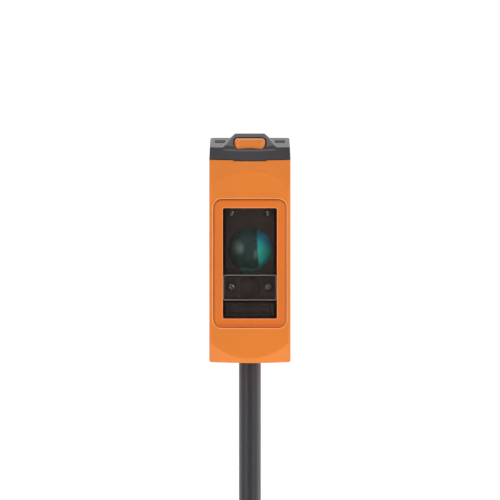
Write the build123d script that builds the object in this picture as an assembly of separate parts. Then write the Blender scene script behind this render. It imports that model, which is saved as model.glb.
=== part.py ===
"""Miniature photoelectric sensor with a teach button and a fixed cable.

Frame: +Z up, the optics look along -Y, X runs across the narrow width.
The origin lies midway between the two side mounting holes, on the mid-plane.
All sizes are in millimetres.
"""
import os
from math import pi, radians, tan

from build123d import *

# ---------------------------------------------------------------- driving sizes
# Outer body
WIDTH = 15.7
BODY_LOW = -20.85
BODY_TOP = 20.7
FRONT = -24.5
BACK = 5.5
SEAM = 18.4
SEAM_GAP = 0.12
CORNER_FRONT = 0.5
CORNER_BACK = 1.2
EDGE_ROUND = 0.4
CAP_DRAFT = 4.0
WALL = 1.5

# The flat front is bounded by two arcs, past which it falls back as a cone
CONE_SLOPE = 38.0
UPPER_ARC_Z = 5.2
UPPER_ARC_R = 11.3
LOWER_ARC_Z = -9.3
LOWER_ARC_R = 10.6
ARC_SPLIT_Z = -2.5
ARC_ROUND = 0.5

# Chamber inside the housing
CHAMBER_FRONT = -21.0
CHAMBER_LOW = -19.0

# Mounting holes for M3 screws, through both sides
HOLE_PITCH = 25.4
HOLE_R = 1.6
SLEEVE_R = 2.5
SLEEVE_RECESS_R = 3.3
SLEEVE_EDGE = 0.15
SLEEVE_RECESS = 0.15

# Front bezel and its pocket
BEZEL_W = 13.87
BEZEL_LOW = -13.85
BEZEL_TOP = 10.9
BEZEL_CORNER = 1.5
BEZEL_PROUD = 0.4
BEZEL_ROUND = 0.35
BEZEL_DEPTH = 2.0
BEZEL_GROOVE = 0.05
OPEN_W = 10.4
OPEN_LOW = -12.1
OPEN_TOP = 9.27
OPEN_CORNER = 0.3
OPEN_EASE = 0.13
POCKET_EASE = 0.16
PASSAGE_CORNER = 0.3

# Window panes, one above the other in the bezel's opening
PANE_FIT = 0.05
PANE_FRONT = FRONT
PANE_T = 1.2
PANE_EDGE = 0.08
EMITTER_PANE_ROUND = 0.16
EMITTER_PANE_LOW = -8.63
EMITTER_PANE_TOP = -3.64
EMITTER_PANE_PROUD = 0.22
EMITTER_PANE_CORNER = 0.4

# Optics carrier and the pieces in it
CARRIER_W = 12.0
CARRIER_LOW = -13.0
CARRIER_TOP = 10.0
CARRIER_BACK = -11.8
CAVITY_HALF = 4.65
RECEIVER_WELL_LOW = -3.5
EMITTER_WELL_HALF = 4.9
EMITTER_WELL = (-8.3, -4.2)
LOWER_WELL = (-11.8, -9.1)
LOWER_WELL_BACK = -20.4
LOWER_WELL_TAPER = 12.0
RECEIVER_Z = 0.88
RECEIVER_R = 4.28
RECEIVER_SEAT = -19.2
RECEIVER_RISE = 2.5
RECEIVER_BACK = -18.0
RECEIVER_PATH_R = 3.4
RECEIVER_STOP = (1.8, -14.6, -14.2)
EMITTER_Z = -6.2
EMITTER_R = 2.1
EMITTER_SEAT = -21.6
EMITTER_RISE = 0.9
EMITTER_BACK = -20.4
EMITTER_PATH_R = 1.7
EMITTER_STOP = (1.05, -19.0, -18.7)
LENS_FIT = 0.2
STAKE_R = 1.0
STAKE_RISE = 0.7
STAKE_RIM = 0.4
SHANK_R = 0.5
SHANK_L = 1.9
SHANK_HOLE = 2.0
UPPER_STAKE = (3.6, 8.15)
EMITTER_STAKE = (3.57, -6.15)

# Boards
CAN_T = 2.0
BOARD_T = 0.8
BOARD_W = 12.0
BOARD_LOW = -12.4
OPTICS_BOARD_TOP = 12.0
MAIN_BOARD_FRONT = -6.0
MAIN_BOARD_TOP = 14.0
CONTROL_BOARD_Z = 14.0

# Control panel cap
PANEL_PLATE = 1.2
TONGUE_DEPTH = 2.0
TONGUE_T = 0.6
TAB_W = 6.2
NOTCH_HALF = 3.6
MOULD_FIT = 0.1
TAB_DROP = 0.16
GASKET_T = 0.4
GASKET_W = 0.45
HUMP_HALF = 5.25
HUMP_HEIGHT = 2.4
HUMP_RIDGE = 5.0
HUMP_LENGTH = 9.0
HUMP_ROOT = 0.5
HUMP_ROUND = 0.15
CAP_ROUND = 0.2
GUIDE_X = 5.8
GUIDE_HALF = 1.0
GUIDE_START = 12.8
GUIDE_END = 19.2
STATUS_X = 4.8
STATUS_BACK_OFF = 13.9

# Teach button
BUTTON_W = 5.9
BUTTON_L = 3.3
BUTTON_CORNER = 0.9
BUTTON_CROWN = 0.6
BUTTON_TOP = 22.3
BUTTON_GAP = 0.25
BUTTON_BACK_OFF = 0.15
FLANGE_T = 0.5
FLANGE_GAP = 0.05
FLANGE_LIP = 0.5
FLANGE_BACK_OFF = 0.15
STEM_R = 0.8
STEM_BACK_OFF = 0.75

# Switch below the button
SWITCH_W = 4.2
SWITCH_L = 3.2
SWITCH_H = 1.4
SWITCH_FLOOR = 0.2
SWITCH_LID = 0.3
SWITCH_WELL_R = 1.4
PLUNGER_FIT = 0.05
PLUNGER_R = 0.9
PLUNGER_TOP = 16.9
SEAL_TOP = 17.8
SEAL_LOW = 16.4
SEAL_RIM = 0.5
SEAL_R = 2.2
SEAL_BORE_R = 1.6
SEAL_CROWN_R = 1.1
SEAL_WEB = 0.3
SEAL_PIN_R = 0.7

# Cable
CABLE_D = 4.3
CABLE_Y = -10.0
CABLE_INNER_END = -14.6
CORE_D = 1.0
CORE_PITCH = 1.44
FERRULE_R = 0.6
FERRULE_L = 6.0
GROMMET_R = 3.3
GROMMET_TOP = -16.0
GROMMET_EDGE = 0.25
BOSS_WALL = 1.2
CLAMP_WALL = 1.0
CLAMP_TOP = -14.9

# Put-away hank of the cable: an upright oval winding of two layers
HANK_INNER_R = 13.0
HANK_OUTER_R = HANK_INNER_R + CABLE_D
HANK_TURNS = 5
HANK_TOP_Z = -100.0
HANK_RUN = 46.0
TIE_T = 1.0
TIE_W = 3.6

# Worked-out values
HALF = WIDTH / 2
DEPTH = BACK - FRONT
SLOPE = tan(radians(CONE_SLOPE))
CABLE_R = CABLE_D / 2
CHAMBER_HALF = HALF - WALL
CHAMBER_BACK = BACK - WALL
CAP_LOW = SEAM + SEAM_GAP / 2
HOUSING_TOP = SEAM - SEAM_GAP / 2
PLATE_LOW = BODY_TOP - PANEL_PLATE
EDGE_Y = FRONT + (BODY_TOP - UPPER_ARC_Z - UPPER_ARC_R) * SLOPE
STATUS_Y = EDGE_Y + STATUS_BACK_OFF
BUTTON_FRONT = EDGE_Y + BUTTON_BACK_OFF
BUTTON_Y = BUTTON_FRONT + BUTTON_L / 2
SWITCH_Y = BUTTON_Y + STEM_BACK_OFF
BEZEL_FRONT = FRONT - BEZEL_PROUD
BEZEL_BACK = FRONT + BEZEL_DEPTH
PANE_BACK = PANE_FRONT + PANE_T
HANK_HALF_Y = HANK_TURNS * CABLE_D / 2
HANK_FRONT = CABLE_Y - HANK_HALF_Y - CABLE_R
HANK_BACK = CABLE_Y + HANK_HALF_Y + CABLE_R
HANK_LOW_Z = HANK_TOP_Z - HANK_RUN
HANK_MID_Z = (HANK_TOP_Z + HANK_LOW_Z) / 2
CONTROL_BOARD_TOP = CONTROL_BOARD_Z + BOARD_T

nodes = {}


# ---------------------------------------------------------------- helpers
def slab(x0, x1, y0, y1, z0, z1):
    """A box between two corners."""
    middle = Pos((x0 + x1) / 2, (y0 + y1) / 2, (z0 + z1) / 2)
    return middle * Box(abs(x1 - x0), abs(y1 - y0), abs(z1 - z0))


def prism_x(outline, x0, x1):
    """Extrude an outline drawn in (Y, Z) from x0 to x1."""
    plane = Plane(origin=(x0, 0, 0), x_dir=(0, 1, 0), z_dir=(1, 0, 0))
    return extrude(plane * outline, x1 - x0)


def prism_y(outline, y0, y1):
    """Extrude an outline drawn in (X, Z) from y0 back to y1."""
    plane = Plane(origin=(0, y1, 0), x_dir=(1, 0, 0), z_dir=(0, -1, 0))
    return extrude(plane * outline, y1 - y0)


def prism_z(outline, z0, z1):
    """Extrude an outline drawn in (X, Y) from z0 up to z1."""
    return extrude(Pos(0, 0, z0) * outline, z1 - z0)


def rod_x(y, z, radius, x0, x1):
    """A round rod along X."""
    return prism_x(Pos(y, z) * Circle(radius), x0, x1)


def rod_y(x, z, radius, y0, y1):
    """A round rod along Y."""
    return prism_y(Pos(x, z) * Circle(radius), y0, y1)


def rod_z(x, y, radius, z0, z1):
    """A round rod along Z."""
    return prism_z(Pos(x, y) * Circle(radius), z0, z1)


def rounded(width, low, top, corner, grow=0.0):
    """A rounded rectangle about the mid-plane, from low to top, grown all round."""
    shape = RectangleRounded(width + 2 * grow, top - low + 2 * grow, corner + grow)
    return Pos(0, (low + top) / 2) * shape


def cone_front(arc_z, arc_r):
    """The round cone behind one of the arcs that bound the flat front."""
    wide = arc_r + DEPTH / SLOPE
    cone = Cone(arc_r, wide, DEPTH, align=(Align.CENTER, Align.CENTER, Align.MIN))
    return Pos(0, FRONT, arc_z) * Rot(-90, 0, 0) * cone


def plan_outline(grow=0.0):
    """The body seen from above, with small front corners and larger back corners."""
    length = DEPTH + 2 * grow
    shape = Pos(0, (FRONT + BACK) / 2) * Rectangle(WIDTH + 2 * grow, length)
    rows = shape.vertices().group_by(Axis.Y)
    shape = fillet(rows[0], CORNER_FRONT)
    return fillet(shape.vertices().group_by(Axis.Y)[-1], CORNER_BACK)


def front_edges(solid, y):
    """Edges in the plane at y that lie on the outline of the bezel or inside it."""
    edges = solid.edges().filter_by_position(Axis.Y, y - 0.01, y + 0.01)
    return [
        e for e in edges
        if abs(e.center().X) < BEZEL_W / 2 + BEZEL_GROOVE + 0.01
        and BEZEL_LOW - BEZEL_GROOVE - 0.01 < e.center().Z < BEZEL_TOP + BEZEL_GROOVE + 0.01
    ]


def tube(points, diameter, name):
    """A round tube of straight runs joined by tangent arcs as large as they fit."""
    corners = [Vector(*p) for p in points]
    radii = []
    for a, b, c in zip(corners, corners[1:], corners[2:]):
        shorter = min((b - a).length, (c - b).length)
        half_turn = radians((b - a).get_angle(c - b) / 2)
        radii.append(0.45 * shorter / tan(half_turn))
    path = FilletPolyline(*corners, radius=radii)
    start = Plane(origin=corners[0], z_dir=corners[1] - corners[0])
    solid = sweep(start * Circle(diameter / 2), path=path)
    expected = pi * diameter**2 / 4 * path.length
    print(
        f"{name}: length {path.length:.1f}, bend radii {[round(r, 1) for r in radii]},"
        f" volume over section x length {solid.volume / expected:.4f}"
    )
    return solid


# ---------------------------------------------------------------- outer casing
def body_envelope():
    """The whole outer form of the housing and cap, before draft."""
    block = prism_z(plan_outline(), BODY_LOW, BODY_TOP + HUMP_HEIGHT)
    block = fillet(block.edges().group_by(Axis.Z)[0], EDGE_ROUND)
    lower = block & slab(-HALF, HALF, FRONT, BACK, BODY_LOW, ARC_SPLIT_Z)
    upper = block & slab(-HALF, HALF, FRONT, BACK, ARC_SPLIT_Z, BODY_TOP + HUMP_HEIGHT)
    lower = lower & cone_front(LOWER_ARC_Z, LOWER_ARC_R)
    upper = upper & cone_front(UPPER_ARC_Z, UPPER_ARC_R)
    form = lower + upper
    arcs = [e for e in form.edges().filter_by(GeomType.CIRCLE) if abs((e @ 0).Y - FRONT) < 0.01]
    return fillet(arcs, ARC_ROUND)


def housing(envelope):
    """One moulded shell, open at the top for the cap and at the front for the optics."""
    shell = envelope & slab(-HALF, HALF, FRONT, BACK, BODY_LOW, HOUSING_TOP)
    shell -= slab(
        -CHAMBER_HALF, CHAMBER_HALF, CHAMBER_FRONT, CHAMBER_BACK, CHAMBER_LOW, BODY_TOP
    )
    pocket = rounded(BEZEL_W, BEZEL_LOW, BEZEL_TOP, BEZEL_CORNER, BEZEL_GROOVE)
    shell -= prism_y(pocket, FRONT, BEZEL_BACK)
    shell = fillet(front_edges(shell, FRONT), POCKET_EASE)
    passage = rounded(CARRIER_W, CARRIER_LOW, CARRIER_TOP, PASSAGE_CORNER, MOULD_FIT)
    shell -= prism_y(passage, FRONT, CHAMBER_FRONT)
    # the seat of the cap's snap tab
    shell -= slab(
        -TAB_W / 2 - MOULD_FIT, TAB_W / 2 + MOULD_FIT, FRONT, CHAMBER_FRONT - GASKET_W,
        CAP_LOW - TAB_DROP - SEAM_GAP, BODY_TOP,
    )
    # boss round the cable seal, with its bore through the floor
    shell += rod_z(0, CABLE_Y, GROMMET_R + BOSS_WALL, CHAMBER_LOW, GROMMET_TOP - 0.2)
    shell -= rod_z(0, CABLE_Y, GROMMET_R, BODY_LOW, GROMMET_TOP)
    for z in (-HOLE_PITCH / 2, HOLE_PITCH / 2):
        shell -= rod_x(0, z, SLEEVE_R, -HALF, HALF)
        for side in (-1, 1):
            x0, x1 = sorted((side * (HALF - SLEEVE_RECESS), side * HALF))
            shell -= rod_x(0, z, SLEEVE_RECESS_R, x0, x1)
    return shell


def hump(envelope):
    """The guard behind and beside the button: a wedge with 45 degree ends."""
    low, top = BODY_TOP - HUMP_ROOT, BODY_TOP + HUMP_HEIGHT
    side = Polygon(
        (EDGE_Y - 1, low), (EDGE_Y + HUMP_LENGTH, low), (EDGE_Y + HUMP_LENGTH, BODY_TOP),
        (EDGE_Y + HUMP_RIDGE, top), (EDGE_Y, BODY_TOP), (EDGE_Y - 1, BODY_TOP), align=None,
    )
    ridge = HUMP_HALF - HUMP_HEIGHT
    front = Polygon(
        (-HUMP_HALF, low), (HUMP_HALF, low), (HUMP_HALF, BODY_TOP),
        (ridge, top), (-ridge, top), (-HUMP_HALF, BODY_TOP), align=None,
    )
    wedge = prism_x(side, -HUMP_HALF, HUMP_HALF) & prism_y(front, FRONT, BACK) & envelope
    crests = [e for e in wedge.edges() if e.center().Z > BODY_TOP + 0.2]
    return fillet(crests, HUMP_ROUND)


def drafted_block():
    """The plan outline drawn in by the cap's draft from the seam upwards."""
    return extrude(Pos(0, 0, CAP_LOW) * plan_outline(), BODY_TOP - CAP_LOW, taper=CAP_DRAFT)


def button_outline(grow=0.0):
    """The button seen from above."""
    return Pos(0, BUTTON_Y) * RectangleRounded(
        BUTTON_W + 2 * grow, BUTTON_L + 2 * grow, BUTTON_CORNER + grow
    )


def guide_slot(side):
    """Corners of one light guide's window in the cap's top."""
    x0, x1 = sorted((side * (GUIDE_X - GUIDE_HALF), side * (GUIDE_X + GUIDE_HALF)))
    return x0, x1, EDGE_Y + GUIDE_START, EDGE_Y + GUIDE_END


def gasket():
    """Soft seal that lies in a groove of the cap, on the housing's rim."""
    low = HOUSING_TOP
    top = low + GASKET_T
    ring = slab(
        -CHAMBER_HALF - GASKET_W, CHAMBER_HALF + GASKET_W,
        CHAMBER_FRONT - GASKET_W, CHAMBER_BACK + GASKET_W, low, top,
    )
    return ring - slab(
        -CHAMBER_HALF, CHAMBER_HALF, CHAMBER_FRONT, CHAMBER_BACK, low, top
    )


def control_cap(envelope):
    """The dark cap with its plate, hump, inner tongue and front snap tab."""
    above = slab(-HALF, HALF, FRONT, BACK, CAP_LOW, BODY_TOP)
    cap = envelope & above & drafted_block()
    cap = fillet(cap.faces().sort_by(Axis.Z)[-1].edges(), CAP_ROUND)
    cap -= slab(
        -CHAMBER_HALF, CHAMBER_HALF, CHAMBER_FRONT, CHAMBER_BACK, CAP_LOW - 1, PLATE_LOW
    )
    cap += hump(envelope)
    # tongue that plugs into the housing's mouth, cut away in front of the button
    half = CHAMBER_HALF - MOULD_FIT
    front, back = CHAMBER_FRONT + MOULD_FIT, CHAMBER_BACK - MOULD_FIT
    low = CAP_LOW - TONGUE_DEPTH
    tongue = slab(-half, half, front, back, low, PLATE_LOW)
    tongue -= slab(
        -half + TONGUE_T, half - TONGUE_T, front + TONGUE_T, back - TONGUE_T, low, PLATE_LOW
    )
    tongue -= slab(-NOTCH_HALF, NOTCH_HALF, front, front + TONGUE_T, low, PLATE_LOW)
    cap += tongue
    cap -= gasket()
    tab_back = CHAMBER_FRONT - GASKET_W - MOULD_FIT
    tab = slab(-TAB_W / 2, TAB_W / 2, FRONT, tab_back, CAP_LOW - TAB_DROP, CAP_LOW)
    cap += tab & envelope
    cap -= prism_z(button_outline(BUTTON_GAP), PLATE_LOW - 1, BODY_TOP + HUMP_HEIGHT + 1)
    for side in (-1, 1):
        x0, x1, y0, y1 = guide_slot(side)
        cap -= slab(x0, x1, y0, y1, PLATE_LOW, BODY_TOP)
    return cap


def bezel():
    """The raised frame round the windows, with its edges eased."""
    frame = prism_y(rounded(BEZEL_W, BEZEL_LOW, BEZEL_TOP, BEZEL_CORNER), BEZEL_FRONT, BEZEL_BACK)
    frame = fillet(frame.faces().sort_by(Axis.Y)[0].edges(), BEZEL_ROUND)
    opening = rounded(OPEN_W, OPEN_LOW, OPEN_TOP, OPEN_CORNER)
    frame -= prism_y(opening, BEZEL_FRONT, BEZEL_BACK)
    rim = [e for e in front_edges(frame, BEZEL_FRONT) if abs(e.center().X) < OPEN_W / 2 + 0.01]
    return fillet(rim, OPEN_EASE)


# ---------------------------------------------------------------- windows and optics
def pane(low, top, corner):
    """A clear pane that fills the bezel's opening between two heights."""
    outline = rounded(OPEN_W, low, top, corner, -PANE_FIT)
    solid = prism_y(outline, PANE_FRONT, PANE_BACK)
    return chamfer(solid.faces().sort_by(Axis.Y)[0].edges(), PANE_EDGE)


def emitter_pane():
    """The thicker clear block in front of the emitter, proud of its neighbours."""
    outline = rounded(
        OPEN_W, EMITTER_PANE_LOW, EMITTER_PANE_TOP, EMITTER_PANE_CORNER, -PANE_FIT
    )
    solid = prism_y(outline, PANE_FRONT - EMITTER_PANE_PROUD, PANE_BACK)
    return fillet(solid.faces().sort_by(Axis.Y)[0].edges(), EMITTER_PANE_ROUND)


def tapered_well(half, low, top, y_front, y_back, taper):
    """A well that narrows from its mouth to its floor."""
    mouth = Plane(origin=(0, y_front, 0), x_dir=(1, 0, 0), z_dir=(0, 1, 0))
    outline = Pos(0, -(low + top) / 2) * Rectangle(2 * half, top - low)
    return extrude(mouth * outline, y_back - y_front, taper=taper)


def carrier():
    """The black moulding that holds the lenses apart and keeps their light apart."""
    block = slab(
        -CARRIER_W / 2, CARRIER_W / 2, BEZEL_BACK, CARRIER_BACK, CARRIER_LOW, CARRIER_TOP
    )
    nose = rounded(OPEN_W, OPEN_LOW, OPEN_TOP, OPEN_CORNER, -PANE_FIT)
    block += prism_y(nose, PANE_BACK, BEZEL_BACK)
    block -= slab(
        -CAVITY_HALF, CAVITY_HALF, PANE_BACK, RECEIVER_SEAT, RECEIVER_WELL_LOW, OPEN_TOP
    )
    block -= slab(
        -EMITTER_WELL_HALF, EMITTER_WELL_HALF, PANE_BACK, EMITTER_SEAT, *EMITTER_WELL
    )
    block -= tapered_well(
        CAVITY_HALF, *LOWER_WELL, PANE_BACK, LOWER_WELL_BACK, LOWER_WELL_TAPER
    )
    # light paths behind the lenses
    block -= rod_y(0, RECEIVER_Z, RECEIVER_R, RECEIVER_SEAT - LENS_FIT, RECEIVER_BACK)
    block -= rod_y(0, RECEIVER_Z, RECEIVER_PATH_R, RECEIVER_BACK - LENS_FIT, CARRIER_BACK)
    block -= rod_y(0, EMITTER_Z, EMITTER_R, EMITTER_SEAT - LENS_FIT, EMITTER_BACK)
    block -= rod_y(0, EMITTER_Z, EMITTER_PATH_R, EMITTER_BACK - LENS_FIT, CARRIER_BACK)
    for x in (-UPPER_STAKE[0], UPPER_STAKE[0]):
        block -= rod_y(x, UPPER_STAKE[1], SHANK_R, RECEIVER_SEAT, RECEIVER_SEAT + SHANK_HOLE)
    for x in (-EMITTER_STAKE[0], EMITTER_STAKE[0]):
        block -= rod_y(x, EMITTER_STAKE[1], SHANK_R, EMITTER_SEAT, EMITTER_SEAT + SHANK_HOLE)
    return block


def dome(x, z, radius, rise, y_base):
    """A spherical cap that bulges towards the front from a flat base."""
    ball_r = (radius**2 + rise**2) / (2 * rise)
    ball = Pos(x, y_base - rise + ball_r, z) * Sphere(ball_r)
    return ball & rod_y(x, z, radius, y_base - rise, y_base)


def receiver_lens():
    """Plano-convex receiving lens with a cylindrical seat."""
    lens = dome(0, RECEIVER_Z, RECEIVER_R, RECEIVER_RISE, RECEIVER_SEAT)
    return lens + rod_y(0, RECEIVER_Z, RECEIVER_R, RECEIVER_SEAT, RECEIVER_BACK)


def emitter_lens():
    """Small plano-convex lens that narrows the emitted beam."""
    lens = dome(0, EMITTER_Z, EMITTER_R, EMITTER_RISE, EMITTER_SEAT)
    return lens + rod_y(0, EMITTER_Z, EMITTER_R, EMITTER_SEAT, EMITTER_BACK)


def stakes(place, y_base):
    """Two domed rivets, with shanks in the carrier."""
    pins = []
    for x in (-place[0], place[0]):
        head = dome(x, place[1], STAKE_R, STAKE_RISE, y_base - STAKE_RIM)
        head += rod_y(x, place[1], STAKE_R, y_base - STAKE_RIM, y_base)
        pins.append(head + rod_y(x, place[1], SHANK_R, y_base, y_base + SHANK_L))
    return Compound(pins)


def washer_y(x, z, outer, inner, y0, y1):
    """A flat ring across the light path."""
    return rod_y(x, z, outer, y0, y1) - rod_y(x, z, inner, y0, y1)


# ---------------------------------------------------------------- boards and electronics
def chips(places, size, face_y):
    """Separate small parts standing on a board's front face at (x, z) places."""
    width, height, thick = size
    solids = []
    for x, z in places:
        solids.append(
            slab(x - width / 2, x + width / 2, face_y - thick, face_y, z - height / 2, z + height / 2)
        )
    return Compound(solids)


def shield_can():
    """A folded metal can over the receiver's amplifier, on the optics board's back."""
    back = CARRIER_BACK + BOARD_T
    half, low, top, wall = 4.5, -4.0, 6.0, 0.2
    can = slab(-half, half, back, back + CAN_T, low, top)
    return can - slab(wall - half, half - wall, back, back + CAN_T - wall, low + wall, top - wall)


def photodiode():
    """Black resin package with a shallow lens on its face."""
    half, reach, thick = 2.0, 1.6, 1.1
    lens_r, lens_rise = 1.2, 0.4
    face = CARRIER_BACK - thick
    body = slab(-half, half, face, CARRIER_BACK, RECEIVER_Z - reach, RECEIVER_Z + reach)
    return body + dome(0, RECEIVER_Z, lens_r, lens_rise, face)


def emitter_diode():
    """Light-emitting diode with a round lens."""
    half, thick = 1.1, 0.9
    lens_r, lens_rise = 0.95, 0.9
    face = CARRIER_BACK - thick
    body = slab(-half, half, face, CARRIER_BACK, EMITTER_Z - half, EMITTER_Z + half)
    return body + dome(0, EMITTER_Z, lens_r, lens_rise, face)


def header_pins(count, pitch, y0, y1, z, section=0.5):
    """A row of square pins between two parallel boards."""
    solids = []
    for i in range(count):
        x = (i - (count - 1) / 2) * pitch
        solids.append(
            slab(x - section / 2, x + section / 2, y0, y1, z - section / 2, z + section / 2)
        )
    return Compound(solids)


def control_pins():
    """Short angled contacts that tie the control board to the main board."""
    solids = []
    half, pitch, bend, foot = 0.3, 2.5, 13.6, 11.8
    for i in range(4):
        x = (i - 1.5) * pitch
        pin = slab(x - half, x + half, -7.2, MAIN_BOARD_FRONT, bend, CONTROL_BOARD_Z)
        pin += slab(x - half, x + half, -6.4, MAIN_BOARD_FRONT, foot, bend)
        solids.append(pin)
    return Compound(solids)


def status_led(side):
    """Small light-emitting diode below a light guide."""
    x, y = side * STATUS_X, STATUS_Y
    half, reach, tall = 0.8, 0.6, 0.7
    low = CONTROL_BOARD_TOP
    return slab(x - half, x + half, y - reach, y + reach, low, low + tall)


def light_guide(side):
    """Clear guide from a status light up to its window in the cap."""
    x0, x1, y0, y1 = guide_slot(side)
    fit, proud, edge = 0.05, 0.08, 0.07
    window = slab(x0 + fit, x1 - fit, y0 + fit, y1 - fit, PLATE_LOW, BODY_TOP + proud)
    window = chamfer(window.edges().group_by(Axis.Z)[-1], edge)
    x, y = side * STATUS_X, STATUS_Y
    half, reach, above_board = 0.55, 0.8, 0.8
    foot = CONTROL_BOARD_TOP + above_board
    stem = slab(x - half, x + half, y - reach, y + reach, foot, PLATE_LOW)
    return window + stem


# ---------------------------------------------------------------- button and switch
def teach_button():
    """The pressed key: a crowned head, a retaining flange and a stem."""
    shoulder = PLATE_LOW - FLANGE_GAP
    head = prism_z(button_outline(), shoulder, BUTTON_TOP)
    head = fillet(head.faces().sort_by(Axis.Z)[-1].edges(), BUTTON_CROWN)
    flange = Pos(0, BUTTON_Y + FLANGE_BACK_OFF) * RectangleRounded(
        BUTTON_W + 2 * FLANGE_LIP, BUTTON_L - 2 * FLANGE_BACK_OFF, BUTTON_CORNER
    )
    key = head + prism_z(flange, shoulder - FLANGE_T, shoulder)
    return key + rod_z(0, SWITCH_Y, STEM_R, SEAL_TOP, shoulder - FLANGE_T / 2)


def frustum(low_r, top_r, height, z0):
    """A cone frustum standing at z0 under the button's stem."""
    cone = Cone(low_r, top_r, height, align=(Align.CENTER, Align.CENTER, Align.MIN))
    return Pos(0, SWITCH_Y, z0) * cone


def button_seal():
    """Soft diaphragm between the button's stem and the switch."""
    foot, waist = SEAL_LOW, SEAL_LOW + SEAL_RIM
    rim = rod_z(0, SWITCH_Y, SEAL_R, foot, waist) - rod_z(0, SWITCH_Y, SEAL_BORE_R, foot, waist)
    web = frustum(SEAL_R, SEAL_CROWN_R, SEAL_TOP - waist, waist)
    web -= frustum(SEAL_R - SEAL_WEB, SEAL_CROWN_R - SEAL_WEB, 2 * SEAL_WEB, waist)
    return rim + web + rod_z(0, SWITCH_Y, SEAL_PIN_R, PLUNGER_TOP, SEAL_TOP - SEAL_WEB + 0.1)


def switch_body():
    """Switch case on the control board, with the plunger's guide."""
    z0 = CONTROL_BOARD_TOP
    case = slab(
        -SWITCH_W / 2, SWITCH_W / 2, SWITCH_Y - SWITCH_L / 2, SWITCH_Y + SWITCH_L / 2,
        z0, z0 + SWITCH_H,
    )
    floor, lid = z0 + SWITCH_FLOOR, z0 + SWITCH_H - SWITCH_LID
    case -= rod_z(0, SWITCH_Y, SWITCH_WELL_R, floor, lid)
    return case - rod_z(0, SWITCH_Y, PLUNGER_R + PLUNGER_FIT, floor + 0.1, z0 + SWITCH_H)


def switch_dome():
    """Thin sprung dome under the plunger."""
    z0 = CONTROL_BOARD_TOP + SWITCH_FLOOR
    low_r, top_r, rise = 1.3, 0.5, 0.4
    under, thick = 0.15, 0.08
    return frustum(low_r, top_r, rise, z0) - frustum(low_r - under, top_r - under, rise - thick, z0)


def switch_plunger():
    """The switch's own plunger, with a collar that keeps it in the case."""
    z0 = CONTROL_BOARD_TOP + SWITCH_FLOOR + 0.4
    collar_r, collar_t = 1.3, 0.45
    pin = rod_z(0, SWITCH_Y, PLUNGER_R, z0, PLUNGER_TOP)
    return pin + rod_z(0, SWITCH_Y, collar_r, z0, z0 + collar_t)


# ---------------------------------------------------------------- mounting and cable entry
def sleeve(z):
    """Metal sleeve for an M3 screw, flush with both sides."""
    pipe = rod_x(0, z, SLEEVE_R, -HALF, HALF) - rod_x(0, z, HOLE_R, -HALF, HALF)
    circles = pipe.edges().filter_by(GeomType.CIRCLE)
    rims = [edge for edge in circles if abs(edge.radius - HOLE_R) < 0.01]
    return chamfer(rims, SLEEVE_EDGE)


def grommet():
    """Soft ring that seals the cable in the housing's floor."""
    ring = rod_z(0, CABLE_Y, GROMMET_R, BODY_LOW, GROMMET_TOP)
    ring = chamfer(ring.edges().group_by(Axis.Z)[0], GROMMET_EDGE)
    return ring - rod_z(0, CABLE_Y, CABLE_R, BODY_LOW, GROMMET_TOP)


def cable_clamp():
    """Crimped collar above the seal, which takes the pull of the cable."""
    ring = rod_z(0, CABLE_Y, CABLE_R + CLAMP_WALL, GROMMET_TOP, CLAMP_TOP)
    return ring - rod_z(0, CABLE_Y, CABLE_R, GROMMET_TOP, CLAMP_TOP)


def core_place(index):
    """Place of one core in the cable's section, as (x, y) from its centre."""
    half = CORE_PITCH / 2
    return ((-half, -half), (-half, half), (half, half), (half, -half))[index]


def inner_core(index):
    """One insulated core from the cable's inner end to its pad on the main board."""
    x, y = core_place(index)
    pad_x = (-3.2, -0.8, 0.8, 3.2)[index]
    pad_y = MAIN_BOARD_FRONT - CORE_D / 2
    route = [
        (x, CABLE_Y + y, CABLE_INNER_END),
        (x, CABLE_Y + y, -13.2),
        (pad_x, pad_y, -11.6),
        (pad_x, pad_y, -9.6),
    ]
    return tube(route, CORE_D, f"inner core {index}")


# ---------------------------------------------------------------- cable, hank and free end
CABLE_ROUTE = [
    (0, CABLE_Y, CABLE_INNER_END),
    (0, CABLE_Y, -57),
    (17.3, -20.75, -86),
    (17.3, -20.75, -116),
]
TAIL_ROUTE = [
    (13, -20.75, -103),
    (13, -25.1, -118),
    (13, -25.3, -134),
]
TAIL_END = TAIL_ROUTE[-1]


def oval(radius):
    """The hank's outline at one radius, drawn in (X, Z)."""
    ends = Pos(0, HANK_TOP_Z) * Circle(radius) + Pos(0, HANK_LOW_Z) * Circle(radius)
    return ends + Pos(0, HANK_MID_Z) * Rectangle(2 * radius, HANK_RUN)


def hank():
    """Outer form of the wound cable: an upright oval ring."""
    outer = prism_y(oval(HANK_OUTER_R + CABLE_R), HANK_FRONT, HANK_BACK)
    return outer - prism_y(oval(HANK_INNER_R - CABLE_R), HANK_FRONT, HANK_BACK)


def tie(side, front):
    """A strap round one side of the hank, with its locking head."""
    x0 = HANK_INNER_R - CABLE_R
    x1 = HANK_OUTER_R + CABLE_R
    centre = side * (x0 + x1) / 2
    inside = Pos(centre, (front + HANK_BACK) / 2) * Rectangle(x1 - x0, HANK_BACK - front)
    outside = offset(inside, TIE_T)
    z0 = HANK_MID_Z - TIE_W / 2
    ring = prism_z(outside, z0, z0 + TIE_W) - prism_z(inside, z0, z0 + TIE_W)
    outer_x = side * (x1 + TIE_T)
    head_t, head_half, lip = 2.6, 2.5, 0.7
    head = slab(
        *sorted((outer_x, outer_x + side * head_t)), CABLE_Y - head_half, CABLE_Y + head_half,
        z0 - lip, z0 + TIE_W + lip,
    )
    return ring + head


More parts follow.
